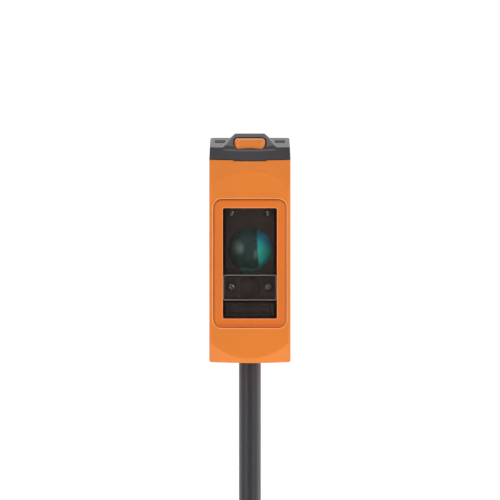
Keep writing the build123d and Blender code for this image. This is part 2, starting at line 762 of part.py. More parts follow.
def free_core(index):
    """One core past the end of the outer jacket, spread a little from the others."""
    x, y = core_place(index)
    spread = (-2.6, -0.9, 2.4, 1.1)[index]
    lean = (-1.0, 0.5, 0.3, -1.2)[index]
    drop = (21.0, 24.0, 22.0, 19.0)[index]
    start = (TAIL_END[0] + x, TAIL_END[1] + y, TAIL_END[2])
    route = [
        start,
        (start[0], start[1], start[2] - 5.0),
        (start[0] + spread, start[1] + lean, start[2] - 14.0),
        (start[0] + 1.3 * spread, start[1] + lean, start[2] - drop),
    ]
    return route


def ferrules():
    """Crimped sleeves on the four core ends."""
    solids = []
    for index in range(4):
        end = Vector(*free_core(index)[-1])
        way = (end - Vector(*free_core(index)[-2])).normalized()
        plane = Plane(origin=end, z_dir=way)
        solids.append(extrude(plane * Circle(FERRULE_R), FERRULE_L))
    return Compound(solids)


# ---------------------------------------------------------------- the whole assembly
def build():
    """Make every piece and put it in nodes under its own name."""
    envelope = body_envelope()
    nodes["housing"] = housing(envelope)
    nodes["control_panel_cap"] = control_cap(envelope)
    nodes["cap_seal"] = gasket()
    nodes["front_bezel"] = bezel()
    nodes["receiver_window"] = pane(EMITTER_PANE_TOP, OPEN_TOP, OPEN_CORNER)
    nodes["emitter_window"] = emitter_pane()
    nodes["lower_window"] = pane(OPEN_LOW, EMITTER_PANE_LOW, OPEN_CORNER)
    nodes["optics_carrier"] = carrier()
    nodes["receiver_lens"] = receiver_lens()
    nodes["emitter_lens"] = emitter_lens()
    nodes["upper_rivets"] = stakes(UPPER_STAKE, RECEIVER_SEAT)
    nodes["emitter_rivets"] = stakes(EMITTER_STAKE, EMITTER_SEAT)
    nodes["receiver_aperture"] = washer_y(0, RECEIVER_Z, RECEIVER_PATH_R, *RECEIVER_STOP)
    nodes["emitter_aperture"] = washer_y(0, EMITTER_Z, EMITTER_PATH_R, *EMITTER_STOP)

    optics_back = CARRIER_BACK + BOARD_T
    nodes["optics_board"] = slab(
        -BOARD_W / 2, BOARD_W / 2, CARRIER_BACK, optics_back, BOARD_LOW, OPTICS_BOARD_TOP
    )
    nodes["receiver_photodiode"] = photodiode()
    nodes["emitter_led"] = emitter_diode()
    nodes["receiver_shield_can"] = shield_can()
    nodes["main_board"] = slab(
        -BOARD_W / 2, BOARD_W / 2, MAIN_BOARD_FRONT, MAIN_BOARD_FRONT + BOARD_T,
        BOARD_LOW, MAIN_BOARD_TOP,
    )
    nodes["board_link_pins"] = header_pins(5, 2.0, optics_back, MAIN_BOARD_FRONT, 9.5)
    nodes["control_board"] = slab(
        -BOARD_W / 2 + 1.0, BOARD_W / 2 - 1.0, -20.5, -5.2, CONTROL_BOARD_Z, CONTROL_BOARD_TOP
    )
    nodes["control_board_contacts"] = control_pins()
    nodes["microcontroller"] = chips([(0, 4.2)], (4.0, 4.0, 0.9), MAIN_BOARD_FRONT)
    nodes["output_driver"] = chips([(-2.2, -3.8)], (3.9, 3.0, 1.3), MAIN_BOARD_FRONT)
    nodes["voltage_regulator"] = chips([(3.2, -3.2)], (2.9, 1.7, 1.1), MAIN_BOARD_FRONT)
    nodes["buffer_capacitor"] = chips([(3.2, -6.4)], (3.2, 1.6, 1.6), MAIN_BOARD_FRONT)
    nodes["suppressor_diode"] = chips([(-2.6, -7.2)], (2.6, 1.4, 1.0), MAIN_BOARD_FRONT)
    small = [(-4.6, 6.6), (-4.6, 4.2), (-4.6, 1.8), (4.6, 6.6), (4.6, 4.2), (4.6, 1.8)]
    nodes["ceramic_capacitors"] = chips(small, (1.6, 0.8, 0.8), MAIN_BOARD_FRONT)
    tiny = [(x, -0.4) for x in (-4.8, -2.9, -1.0, 1.0, 2.9, 4.8)]
    nodes["chip_resistors"] = chips(tiny, (1.0, 0.5, 0.35), MAIN_BOARD_FRONT)
    nodes["output_status_led"] = status_led(-1)
    nodes["power_status_led"] = status_led(1)
    nodes["output_light_guide"] = light_guide(-1)
    nodes["power_light_guide"] = light_guide(1)

    nodes["teach_button"] = teach_button()
    nodes["button_seal"] = button_seal()
    nodes["switch_body"] = switch_body()
    nodes["switch_dome"] = switch_dome()
    nodes["switch_plunger"] = switch_plunger()

    nodes["upper_mounting_sleeve"] = sleeve(HOLE_PITCH / 2)
    nodes["lower_mounting_sleeve"] = sleeve(-HOLE_PITCH / 2)
    nodes["cable_grommet"] = grommet()
    nodes["cable_clamp"] = cable_clamp()
    colours = ("brown", "white", "blue", "black")
    for index, colour in enumerate(colours):
        nodes[f"inner_core_{colour}"] = inner_core(index)
        nodes[f"free_core_{colour}"] = tube(free_core(index), CORE_D, f"free core {colour}")
    nodes["core_ferrules"] = ferrules()
    nodes["cable_hank"] = hank()
    nodes["cable_lead"] = tube(CABLE_ROUTE, CABLE_D, "cable lead") - nodes["cable_hank"]
    nodes["cable_tail"] = tube(TAIL_ROUTE, CABLE_D, "cable tail") - nodes["cable_hank"]
    nodes["hank_ties"] = Compound([tie(-1, HANK_FRONT), tie(1, TAIL_END[1] - CABLE_R)])


build()
os.makedirs("parts", exist_ok=True)
for name, shape in nodes.items():
    export_step(shape, f"parts/{name}.step")
print(f"{len(nodes)} nodes written")
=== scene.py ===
"""Finishes, optics, cable and studio for the CAD frame of a miniature photoelectric sensor."""
import math

import bmesh
import bpy
from bpy.props import FloatProperty, FloatVectorProperty, IntProperty, PointerProperty
from mathutils import Matrix, Vector


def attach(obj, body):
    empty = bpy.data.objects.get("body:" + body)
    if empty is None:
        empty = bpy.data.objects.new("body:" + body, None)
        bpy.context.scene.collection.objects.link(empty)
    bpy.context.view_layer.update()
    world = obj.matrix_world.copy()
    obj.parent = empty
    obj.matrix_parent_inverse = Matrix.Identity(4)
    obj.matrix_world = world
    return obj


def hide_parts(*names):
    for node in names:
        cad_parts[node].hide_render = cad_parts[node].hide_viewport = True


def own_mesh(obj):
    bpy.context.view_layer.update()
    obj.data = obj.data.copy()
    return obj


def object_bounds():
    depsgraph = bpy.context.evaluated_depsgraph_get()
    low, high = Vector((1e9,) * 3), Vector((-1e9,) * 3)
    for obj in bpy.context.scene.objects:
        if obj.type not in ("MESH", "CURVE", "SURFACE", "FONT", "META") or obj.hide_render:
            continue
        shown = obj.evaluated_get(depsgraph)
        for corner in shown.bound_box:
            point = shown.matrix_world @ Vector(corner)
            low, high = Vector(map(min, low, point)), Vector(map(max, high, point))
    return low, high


bl_info = {
    "name": "Photoelectric Sensor",
    "version": (1, 0, 0),
    "blender": (4, 5, 0),
    "location": "View3D > Sidebar > Sensor",
    "description": "Dresses the miniature photoelectric sensor and lights it",
    "category": "Object",
}

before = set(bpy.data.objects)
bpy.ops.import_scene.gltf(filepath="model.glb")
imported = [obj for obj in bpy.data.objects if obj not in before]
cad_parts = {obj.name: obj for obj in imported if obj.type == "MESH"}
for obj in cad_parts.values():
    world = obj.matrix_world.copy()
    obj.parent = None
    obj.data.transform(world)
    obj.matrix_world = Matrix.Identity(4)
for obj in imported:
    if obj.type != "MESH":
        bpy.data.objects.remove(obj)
CAD_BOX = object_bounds()
MM = 0.001
MERGE_DISTANCE = 0.000001

# Places on the sensor, in millimetres
LENS_CENTRE_Z = 0.88
CAP_EDGE_Y = -21.22
CAP_TOP_Z = 20.7
GUARD_HALF = 5.25
# Low and high edge, half width and corner radius of the frames on the front
BEZEL_FRAME = (-13.85, 10.9, 6.935, 1.5)
OPENING_FRAME = (-12.1, 9.27, 5.2, 0.3)
EMITTER_FRAME = (-8.58, -3.69, 5.15, 0.4)

# Painted lines of highlight and shade along edges: place, such as the distance outwards
# from a frame, and half width, in millimetres, and strength
POCKET_HIGHLIGHT_LINE = (0.20, 0.16, 0.85)
BEZEL_SHADE_LINE = (-0.12, 0.26, 0.55)
OPENING_HIGHLIGHT_LINE = (0.09, 0.16, 0.75)
PANE_HIGHLIGHT_LINE = (-0.05, 0.12, 1.0)
LINE_CORE = 0.3
# Painted highlight along the eased edge of the bezel's pocket
POCKET_HIGHLIGHT_ORANGE = (0.97, 0.40, 0.14)
# Painted highlight on the inner rim of the bezel's opening
OPENING_HIGHLIGHT_ORANGE = (0.84, 0.26, 0.10)
# Painted shade on the bezel's rounded outer edge
EDGE_SHADE_ORANGE = (0.45, 0.07, 0.004)
# Painted shade towards the bezel's foot
FOOT_SHADE_ORANGE = (0.52, 0.075, 0.006)
# Painted highlight on the emitter pane's cut rim, how much less clear it makes the rim, and how
# much the rim is frosted
PANE_HIGHLIGHT_TONE = (0.36, 0.31, 0.30)
PANE_CLOUD, PANE_FROST = 0.65, 0.3
# Painted highlight tone on the cap's edges
CAP_HIGHLIGHT_TONE = (0.125, 0.113, 0.122)
# Heights over which painted shade darkens the bezel towards its foot, and how strongly
BEZEL_FOOT_SHADE, BEZEL_FOOT_SHADE_STRENGTH = (-12.6, -13.7), 0.75

# Painted highlight line along the cap's front crease, its bow towards the sides, and where it
# fades out in depth
CREASE_HIGHLIGHT_LINE, CREASE_BOW = (20.15, 0.22, 0.75), 0.35 / 60
CREASE_FADE = (CAP_EDGE_Y + 0.4, CAP_EDGE_Y + 0.2)
# Painted highlight line down the sloped ends of the guard, and where it fades in above the cap's
# top
GUARD_HIGHLIGHT_LINE, GUARD_FADE = (GUARD_HALF - 0.08, 0.24, 0.8), (0.02, 0.12)

# Noise values that most of a pattern lies between, and how fine each pattern is
NOISE_LOW, NOISE_HIGH = 0.3, 0.7
FLOW_SCALE, PANE_RIPPLE, LENS_RIPPLE = 90.0, 300.0, 500.0
GLOSS_SPREAD = 0.05
RIPPLE_SPREAD = 0.4


# ---------------------------------------------------------------- properties
def colour(name, description, default):
    return FloatVectorProperty(name=name, description=description, subtype="COLOR",
                               size=3, min=0.0, max=1.0, default=default)


def length(name, description, default):
    return FloatProperty(name=name, description=description, unit="LENGTH",
                         subtype="DISTANCE", default=default, precision=5)


class SENSOR_PG_plastics(bpy.types.PropertyGroup):
    """Colours of the moulded pieces"""
    housing: colour("Housing", "Orange of the moulded housing", (0.71, 0.185, 0.010))
    bezel: colour("Bezel", "Orange of the bezel round the windows", (0.685, 0.156, 0.006))
    button: colour("Teach button", "Orange of the teach button", (0.68, 0.190, 0.020))
    cap: colour("Cap", "Charcoal of the control panel cap", (0.036, 0.032, 0.037))


class SENSOR_PG_optics(bpy.types.PropertyGroup):
    """Colours of the lenses and windows"""
    window: colour("Windows", "Slightly warm clear of the windows", (0.97, 0.93, 0.90))
    carrier: colour("Carrier", "Black of the optics carrier", (0.050, 0.036, 0.030))
    lens_dark: colour("Lens", "Dark glass of the receiving lens", (0.003, 0.072, 0.078))
    # Colours of the painted reflections in the receiving lens and its filter
    lens_reflection: colour("Lens glow", "Pale patches in the receiving lens", (0.28, 0.46, 0.42))
    filter_reflection_teal: colour("Filter, middle", "Teal of the receiving filter", (0.0, 1.0, 0.90))
    filter_reflection_blue: colour("Filter, edge", "Blue of the receiving filter at a slant",
                        (0.0, 0.55, 0.95))
    emitter: colour("Emitter lens", "Dark red of the emitting lens", (0.050, 0.032, 0.029))


class SENSOR_PG_cable(bpy.types.PropertyGroup):
    """Sizes and colours of the connecting cable"""
    diameter: length("Diameter", "Outer diameter of the jacket", 0.0043)
    run_length: length("Length", "Length of the cable from the housing to its stripped end", 2.0)
    outer_radius: length("Outer radius", "Radius of the hank's outer turns", 0.0173)
    inner_radius: length("Inner radius", "Radius of the hank's inner turns", 0.0130)
    turns: IntProperty(name="Turns", description="Turns in each of the hank's two layers",
                       default=5, min=1)
    jacket: colour("Jacket", "Dark grey of the jacket", (0.019, 0.018, 0.024))


class SENSOR_PG_stage(bpy.types.PropertyGroup):
    """Floor, lights and camera"""
    floor: colour("Floor", "Pale floor and sweep", (0.95, 0.95, 0.95))
    floor_glow: FloatProperty(name="Floor glow", description="Light that the floor adds",
                              min=0.0, default=0.30)
    overhead: FloatProperty(name="Overhead light", description="Light from above",
                            min=0.0, default=0.72)
    behind: FloatProperty(name="Back light", description="Light from behind", min=0.0,
                          default=0.70)
    below: FloatProperty(name="Light from below", description="Sheen that the floor gives",
                         min=0.0, default=1.3)
    front_light: FloatProperty(name="Front light", description="Light from the front",
                               min=0.0, default=0.09)
    distance: length("Camera distance", "From the camera to the front of the sensor", 2.580)
    height: length("Camera height", "Camera above the sensor's origin", 0.2105)
    field: FloatProperty(name="Field of view", description="Angle across the picture",
                         subtype="ANGLE", unit="ROTATION", default=math.radians(2.1345))


# ---------------------------------------------------------------- materials
def new_material(name):
    """A material with its node tree and shader."""
    material = bpy.data.materials.new(name)
    material.use_nodes = True
    return material, material.node_tree, material.node_tree.nodes["Principled BSDF"]


def object_noise(tree, scale, detail):
    """Noise fixed to the piece, about 0.5 in the middle of its range."""
    place = tree.nodes.new("ShaderNodeTexCoord")
    noise = tree.nodes.new("ShaderNodeTexNoise")
    noise.inputs["Scale"].default_value = scale
    noise.inputs["Detail"].default_value = detail
    tree.links.new(place.outputs["Object"], noise.inputs["Vector"])
    return noise.outputs["Fac"]


def spread(tree, value, low, high):
    """A noise stretched to run from low to high."""
    ranged = tree.nodes.new("ShaderNodeMapRange")
    ranged.inputs["From Min"].default_value = NOISE_LOW
    ranged.inputs["From Max"].default_value = NOISE_HIGH
    ranged.inputs["To Min"].default_value = low
    ranged.inputs["To Max"].default_value = high
    tree.links.new(value, ranged.inputs["Value"])
    return ranged.outputs["Result"]


def tint(tree, value, dark, light):
    """A noise as a colour between dark and light."""
    ramp = tree.nodes.new("ShaderNodeValToRGB")
    for stop, position, tone in zip(ramp.color_ramp.elements, (NOISE_LOW, NOISE_HIGH),
                                    (dark, light)):
        stop.position = position
        stop.color = (*tone, 1.0)
    tree.links.new(value, ramp.inputs["Fac"])
    return ramp.outputs["Color"]


def calc(tree, operation, first, second=0.0, third=0.0):
    """One step of arithmetic between sockets or plain numbers."""
    step = tree.nodes.new("ShaderNodeMath")
    step.operation = operation
    for socket, value in zip(step.inputs, (first, second, third)):
        if isinstance(value, (int, float)):
            socket.default_value = value
        else:
            tree.links.new(value, socket)
    return step.outputs["Value"]


def place_in_mm(tree):
    """Object coordinates as separate X, Y and Z in millimetres."""
    place = tree.nodes.new("ShaderNodeTexCoord")
    parts = tree.nodes.new("ShaderNodeSeparateXYZ")
    tree.links.new(place.outputs["Object"], parts.inputs["Vector"])
    return [calc(tree, "MULTIPLY", parts.outputs[axis], 1.0 / MM) for axis in "XYZ"]


def smooth(tree, value, low, high):
    """0 below low and 1 above high, smooth between; low above high runs the other way."""
    ranged = tree.nodes.new("ShaderNodeMapRange")
    ranged.interpolation_type = "SMOOTHSTEP"
    ranged.inputs["From Min"].default_value = min(low, high)
    ranged.inputs["From Max"].default_value = max(low, high)
    ranged.inputs["To Min"].default_value = 0.0 if low < high else 1.0
    ranged.inputs["To Max"].default_value = 1.0 if low < high else 0.0
    tree.links.new(value, ranged.inputs["Value"])
    return ranged.outputs["Result"]


def hypot(tree, first, second):
    """Length of the two sides of a right angle taken together."""
    squares = [calc(tree, "MULTIPLY", side, side) for side in (first, second)]
    return calc(tree, "SQRT", calc(tree, "ADD", *squares))


def blot(tree, across, up, centre, size):
    """A soft oval about a centre, 1 in its middle and 0 at its rim; sizes in millimetres."""
    dx = calc(tree, "MULTIPLY", calc(tree, "SUBTRACT", across, centre[0]), 1.0 / size[0])
    dz = calc(tree, "MULTIPLY", calc(tree, "SUBTRACT", up, centre[1]), 1.0 / size[1])
    return smooth(tree, hypot(tree, dx, dz), 1.0, 0.0)


def frame_distance(tree, across, up, low, high, half, corner):
    """Distance in millimetres outwards from a rounded rectangle about the mid-plane."""
    middle, reach = (low + high) / 2, (high - low) / 2
    qx = calc(tree, "SUBTRACT", calc(tree, "ABSOLUTE", across), half - corner)
    height = calc(tree, "ABSOLUTE", calc(tree, "SUBTRACT", up, middle))
    qz = calc(tree, "SUBTRACT", height, reach - corner)
    outside = hypot(tree, calc(tree, "MAXIMUM", qx, 0.0), calc(tree, "MAXIMUM", qz, 0.0))
    inside = calc(tree, "MINIMUM", calc(tree, "MAXIMUM", qx, qz), 0.0)
    return calc(tree, "SUBTRACT", calc(tree, "ADD", outside, inside), corner)


def line_mask(tree, distance, centre, half_width, strength):
    """As strong as said on a line at a distance, 0 past its half width."""
    off = calc(tree, "ABSOLUTE", calc(tree, "SUBTRACT", distance, centre))
    return calc(tree, "MULTIPLY", smooth(tree, off, half_width, half_width * LINE_CORE), strength)


def frame_line(tree, outline, line):
    """Mask of a line that follows a rounded rectangle on the front."""
    across, _, up = place_in_mm(tree)
    return line_mask(tree, frame_distance(tree, across, up, *outline), *line)


def overlay(tree, under, over, mask):
    """Colour over on colour under where the mask is 1."""
    mixer = tree.nodes.new("ShaderNodeMix")
    mixer.data_type = "RGBA"
    tree.links.new(mask, mixer.inputs["Factor"])
    for socket, value in ((mixer.inputs["A"], under), (mixer.inputs["B"], over)):
        if isinstance(value, tuple):
            socket.default_value = (*value, 1.0)
        else:
            tree.links.new(value, socket)
    return mixer.outputs["Result"]


def shade(base, factor):
    """A colour made lighter or darker."""
    return tuple(min(1.0, part * factor) for part in base)


def moulded(name, base, roughness=0.42, grain=2600.0, bump=0.10, depth=0.00004, variation=0.04,
            specular=0.5, coat=0.0, sheen=0.0, painted_light=None):
    """A moulded plastic: fine spark-eroded grain, faint flow marks in colour and gloss, and any
    painted highlight and shade that is passed in.
    """
    material, tree, shader = new_material(name)
    flow = object_noise(tree, FLOW_SCALE, 4.0)
    colours = tint(tree, flow, shade(base, 1.0 - variation), shade(base, 1.0 + variation))
    if painted_light:
        colours = painted_light(tree, colours)
    tree.links.new(colours, shader.inputs["Base Color"])
    grains = object_noise(tree, grain, 2.0)
    gloss = spread(tree, grains, roughness - GLOSS_SPREAD, roughness + GLOSS_SPREAD)
    tree.links.new(gloss, shader.inputs["Roughness"])
    relief = tree.nodes.new("ShaderNodeBump")
    relief.inputs["Strength"].default_value = bump
    relief.inputs["Distance"].default_value = depth
    tree.links.new(grains, relief.inputs["Height"])
    tree.links.new(relief.outputs["Normal"], shader.inputs["Normal"])
    shader.inputs["Specular IOR Level"].default_value = specular
    shader.inputs["Coat Weight"].default_value = coat
    shader.inputs["Sheen Weight"].default_value = sheen
    return material


def metal(name, base, polished=0.20, worn=0.38, grain=900.0, stain=0.88):
    """A plated or turned metal, with fine wear in its gloss."""
    material, tree, shader = new_material(name)
    wear = object_noise(tree, grain, 4.0)
    tree.links.new(tint(tree, wear, shade(base, stain), base), shader.inputs["Base Color"])
    tree.links.new(spread(tree, wear, polished, worn), shader.inputs["Roughness"])
    shader.inputs["Metallic"].default_value = 1.0
    return material


def clear(name, base, roughness=0.02, ior=1.40, rim=None):
    """Clear moulded plastic with the faintest ripple in its polish and, where a rim is given, a
    frosted cut rim whose pale tone is a painted highlight.
    """
    material, tree, shader = new_material(name)
    ripple = object_noise(tree, PANE_RIPPLE, 2.0)
    gloss = spread(tree, ripple, roughness * (1.0 - RIPPLE_SPREAD),
                   roughness * (1.0 + RIPPLE_SPREAD))
    shader.inputs["Base Color"].default_value = (*base, 1.0)
    shader.inputs["Transmission Weight"].default_value = 1.0
    if rim:
        # Painted highlight: a pale, less clear line along the pane's cut rim, which is also
        # frosted
        edge = frame_line(tree, rim, PANE_HIGHLIGHT_LINE)
        tree.links.new(overlay(tree, base, PANE_HIGHLIGHT_TONE, edge), shader.inputs["Base Color"])
        seen_through = calc(tree, "SUBTRACT", 1.0, calc(tree, "MULTIPLY", edge, PANE_CLOUD))
        tree.links.new(seen_through, shader.inputs["Transmission Weight"])
        gloss = calc(tree, "MULTIPLY_ADD", edge, PANE_FROST, gloss)
    tree.links.new(gloss, shader.inputs["Roughness"])
    shader.inputs["IOR"].default_value = ior
    return material


def housing_edge_highlight(tree, colours):
    """A painted highlight: a pale line round the bezel's pocket, where the moulding's edge is
    eased.
    """
    return overlay(tree, colours, POCKET_HIGHLIGHT_ORANGE, frame_line(tree, BEZEL_FRAME, POCKET_HIGHLIGHT_LINE))


def bezel_edge_light_and_shade(tree, colours):
    """Painted highlight on the inner rim round the windows, painted shade on the rounded outer
    edge, and painted shade that darkens towards the foot.
    """
    colours = overlay(tree, colours, EDGE_SHADE_ORANGE, frame_line(tree, BEZEL_FRAME, BEZEL_SHADE_LINE))
    height = place_in_mm(tree)[2]
    foot = calc(tree, "MULTIPLY", smooth(tree, height, *BEZEL_FOOT_SHADE), BEZEL_FOOT_SHADE_STRENGTH)
    colours = overlay(tree, colours, FOOT_SHADE_ORANGE, foot)
    return overlay(tree, colours, OPENING_HIGHLIGHT_ORANGE, frame_line(tree, OPENING_FRAME, OPENING_HIGHLIGHT_LINE))


def cap_edge_highlights(tree, colours):
    """Painted highlights: lighter lines along the cap's front crease and down the sloped ends of
    its guard.
    """
    across, depth, height = place_in_mm(tree)
    bow = calc(tree, "MULTIPLY", calc(tree, "MULTIPLY", across, across), CREASE_BOW)
    bowed = calc(tree, "SUBTRACT", height, bow)
    crease = calc(tree, "MULTIPLY", line_mask(tree, bowed, *CREASE_HIGHLIGHT_LINE),
                  smooth(tree, depth, *CREASE_FADE))
    colours = overlay(tree, colours, CAP_HIGHLIGHT_TONE, crease)
    above = calc(tree, "SUBTRACT", height, CAP_TOP_Z)
    sloped = calc(tree, "ADD", calc(tree, "ABSOLUTE", across), above)
    ends = calc(tree, "MULTIPLY", line_mask(tree, sloped, *GUARD_HIGHLIGHT_LINE),
                smooth(tree, above, *GUARD_FADE))
    return overlay(tree, colours, CAP_HIGHLIGHT_TONE, ends)


# The receiving lens, in millimetres from its centre: centre, size and strength of its painted pale
# reflections, the painted reflection of the filter that shows as a band on one side, and the
# painted teal reflection along its lower rim
REFLECTION_PATCHES = (((-2.3, 0.5), (1.5, 1.9), 0.75), ((1.1, -0.8), (0.7, 1.5), 0.6))
BAND_EDGE, BAND_SLANT = (1.30, 1.75), 0.06
BAND_BLOT, BAND_STRENGTH = ((4.2, -0.1), (7.5, 6.0)), 1.6
BLUE_FADE, BLUE_SLANT = (0.9, 3.4), 0.35
RIM_RADII, RIM_BLOT = (3.55, 3.85), ((0.1, -4.2), (3.0, 1.9))
LENS_GLOSS, LENS_SPECULAR = (0.22, 0.30), 0.3


def lens_with_painted_reflections(name, base, teal, blue, glow):
    """The receiving lens: dark glass with painted reflections, pale patches and a teal and blue
    band where a dichroic filter behind it reflects a soft box.
    """
    material, tree, shader = new_material(name)
    across, _, height = place_in_mm(tree)
    up = calc(tree, "SUBTRACT", height, LENS_CENTRE_Z)
    # Painted pale reflections of soft boxes
    tone = base
    for centre, size, strength in REFLECTION_PATCHES:
        patch = calc(tree, "MULTIPLY", strength, blot(tree, across, up, centre, size))
        tone = overlay(tree, tone, glow, patch)
    # Painted reflection of a soft box in the dichroic filter, teal and bluer at a slant
    to_blue = smooth(tree, calc(tree, "MULTIPLY_ADD", across, BLUE_SLANT, up), *BLUE_FADE)
    band_tone = overlay(tree, teal, blue, to_blue)
    slant = calc(tree, "MULTIPLY_ADD", up, BAND_SLANT, across)
    band = calc(tree, "MULTIPLY", smooth(tree, slant, *BAND_EDGE),
                blot(tree, across, up, *BAND_BLOT))
    band = calc(tree, "MINIMUM", calc(tree, "MULTIPLY", band, BAND_STRENGTH), 1.0)
    tone = overlay(tree, tone, band_tone, band)
    # Painted teal reflection along the lower rim
    low_line = calc(tree, "MULTIPLY", smooth(tree, hypot(tree, across, up), *RIM_RADII),
                    blot(tree, across, up, *RIM_BLOT))
    tone = overlay(tree, tone, teal, low_line)
    tree.links.new(tone, shader.inputs["Base Color"])
    ripple = object_noise(tree, LENS_RIPPLE, 2.0)
    tree.links.new(spread(tree, ripple, *LENS_GLOSS), shader.inputs["Roughness"])
    shader.inputs["Specular IOR Level"].default_value = LENS_SPECULAR
    return material


def paint(material, *names):
    """Give CAD nodes a finish."""
    for name in names:
        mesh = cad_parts[name].data
        mesh.materials.clear()
        mesh.materials.append(material)


# ---------------------------------------------------------------- operators
class SENSOR_OT_shell(bpy.types.Operator):
    """Give the housing, bezel, cap and button their moulded finishes"""
    bl_idname = "sensor.shell"
    bl_label = "Moulded Shell"

    def execute(self, context):
        colours = context.scene.sensor_plastics
        paint(moulded("housing_orange", colours.housing, 0.42, painted_light=housing_edge_highlight), "housing")
        paint(moulded("bezel_orange", colours.bezel, 0.36, painted_light=bezel_edge_light_and_shade), "front_bezel")
        paint(moulded("button_orange", colours.button, 0.35), "teach_button")
        paint(moulded("cap_charcoal", colours.cap, 0.40, bump=0.22, variation=0.14,
                      specular=0.35, painted_light=cap_edge_highlights), "control_panel_cap")
        paint(moulded("seal_rubber", (0.012, 0.011, 0.011), 0.65), "cap_seal", "button_seal",
              "cable_grommet")
        return {"FINISHED"}


class SENSOR_OT_optics(bpy.types.Operator):
    """Give the carrier, lenses and windows their finishes"""
    bl_idname = "sensor.optics"
    bl_label = "Optics"

    def execute(self, context):
        colours = context.scene.sensor_optics
        window = tuple(colours.window)
        paint(moulded("carrier_black", colours.carrier, 0.30, specular=0.3), "optics_carrier",
              "receiver_aperture", "emitter_aperture")
        paint(moulded("rivet_black", colours.carrier, 0.12, bump=0.02, specular=1.0, coat=1.0),
              "upper_rivets", "emitter_rivets")
        paint(clear("window_clear", window), "receiver_window", "lower_window")
        paint(clear("emitter_window_clear", window, rim=EMITTER_FRAME), "emitter_window")
        paint(moulded("emitter_filter", colours.emitter, 0.40, bump=0.0, specular=0.15),
              "emitter_lens")
        # Painted reflections in the receiving lens
        paint(lens_with_painted_reflections("receiver_painted_reflections", tuple(colours.lens_dark),
                          tuple(colours.filter_reflection_teal), tuple(colours.filter_reflection_blue),
                          tuple(colours.lens_reflection)), "receiver_lens")
        return {"FINISHED"}


# Finish, colour, roughness and nodes of the moulded and coated pieces inside
INNER_FINISHES = (
    ("board_green", (0.01, 0.10, 0.04), 0.35, ("optics_board", "main_board", "control_board")),
    ("chip_resin", (0.02, 0.02, 0.022), 0.5,
     ("microcontroller", "output_driver", "voltage_regulator", "suppressor_diode",
      "chip_resistors")),
    ("ceramic_tan", (0.45, 0.33, 0.20), 0.5, ("ceramic_capacitors", "buffer_capacitor")),
    ("led_white", (0.85, 0.85, 0.82), 0.3,
     ("output_status_led", "power_status_led", "emitter_led")),
    ("photodiode_dark", (0.03, 0.02, 0.03), 0.15, ("receiver_photodiode",)),
    ("switch_grey", (0.12, 0.12, 0.12), 0.5, ("switch_body", "switch_plunger")),
)


class SENSOR_OT_electronics(bpy.types.Operator):
    """Give the boards, their components, the light guides and the sleeves their finishes"""
    bl_idname = "sensor.electronics"
    bl_label = "Electronics"

    def execute(self, context):
        for name, tone, roughness, nodes in INNER_FINISHES:
            paint(moulded(name, tone, roughness), *nodes)
        paint(metal("tinned_metal", (0.75, 0.75, 0.73)), "receiver_shield_can",
              "board_link_pins", "control_board_contacts", "cable_clamp", "switch_dome")
        paint(metal("sleeve_nickel", (0.72, 0.70, 0.66)), "upper_mounting_sleeve",
              "lower_mounting_sleeve")
        paint(moulded("guide_smoked", (0.016, 0.015, 0.015), 0.62, specular=0.15),
              "output_light_guide", "power_light_guide")
        return {"FINISHED"}


def yielding(node):
    """A copy of a piece with its doubled points merged, fixed to the sensor in place of the CAD
    node.
    """
    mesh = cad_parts[node].data.copy()
    shape = bmesh.new()
    shape.from_mesh(mesh)
    bmesh.ops.remove_doubles(shape, verts=shape.verts, dist=MERGE_DISTANCE)
    shape.to_mesh(mesh)
    shape.free()
    piece = bpy.data.objects.new(node + "_soft", mesh)
    bpy.context.scene.collection.objects.link(piece)
    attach(piece, "sensor")
    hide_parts(node)
    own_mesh(piece)
    return piece


class SENSOR_OT_press(bpy.types.Operator):
    """Put merged copies of the rubber seal and the sprung dome under the teach button in place of
    their CAD nodes
    """
    bl_idname = "sensor.press"
    bl_label = "Seal and Dome"

    def execute(self, context):
        seal = yielding("button_seal")
        dome = yielding("switch_dome")
        return {"FINISHED"}


# Cable route, in millimetres: out of the grommet, then across to the hank
LEAD_ROUTE = ((0.0, -10.0, -14.6), (0.0, -10.0, -40.0), (0.0, -10.0, -60.0),
              (17.3, -20.75, -86.0))
TAIL_ROUTE = ((13.0, -20.75, -103.0), (13.0, -25.1, -118.0), (13.0, -25.3, -134.0))
HANK_TOP = -100.0
HANK_LOW = -146.0
HANK_FRONT = -20.75
RUN_STOPS = (-112.0, -134.0)
ARC_POINTS = 6
CURVE_STEPS = 6
CORE_TONES = {"brown": (0.13, 0.055, 0.025), "white": (0.80, 0.79, 0.76),
              "blue": (0.02, 0.08, 0.36), "black": (0.015, 0.015, 0.016)}


def turn_outline(radius):
    """One turn of the hank: down its right run, round below, up its left run, over the top."""
    half_step = math.pi / ARC_POINTS / 2
    reach = radius / math.cos(half_step)
    steps = [half_step * (2 * i + 1) for i in range(ARC_POINTS)]
    right = [(radius, z) for z in RUN_STOPS]
    low = [(reach * math.cos(a), HANK_LOW - reach * math.sin(a)) for a in steps]
    left = [(-radius, z) for z in reversed(RUN_STOPS)]
    top = [(-reach * math.cos(a), HANK_TOP + reach * math.sin(a)) for a in steps]
    return right + low + left + top


def layer(radius, turns, start, pitch):
    """A layer of turns that lie side by side from start along Y."""
    outline = turn_outline(radius)
    points = []
    for turn in range(turns):
        for i, (x, z) in enumerate(outline):
            points.append((x, start + pitch * (turn + i / len(outline)), z))
    return points


